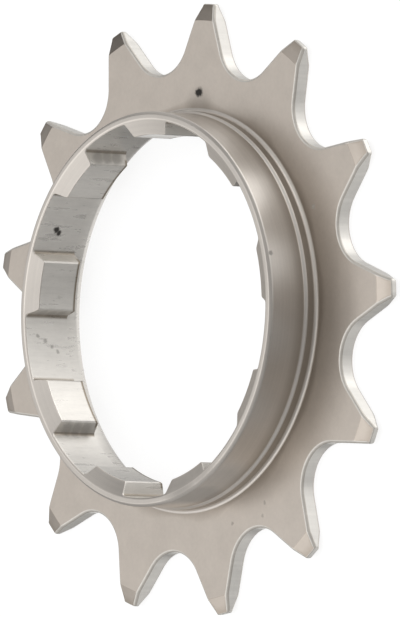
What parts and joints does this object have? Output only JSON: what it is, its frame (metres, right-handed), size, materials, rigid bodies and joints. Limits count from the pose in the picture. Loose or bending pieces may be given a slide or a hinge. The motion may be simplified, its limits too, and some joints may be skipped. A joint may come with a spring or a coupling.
{
  "type": "bicycle sprocket",
  "caption": "Flat steel bicycle sprocket with bevelled tooth tips, a turned spacer collar on one side and a bore with broad spline lugs.",
  "frame": {"origin": "on the bore's axis, in the plane of the flat outboard face that the part lies on", "axes": "+Z along the bore's axis from the toothed plate towards the collar's end; +X lies 2.25 degrees from the middle of one tooth"},
  "size_m": [0.0569, 0.057, 0.0069],
  "materials": {
    "steel": "satin nickel-coloured plating over blanked and turned steel"
  },
  "bodies": {
    "root": {"sprocket": "steel"}
  },
  "joints": []
}
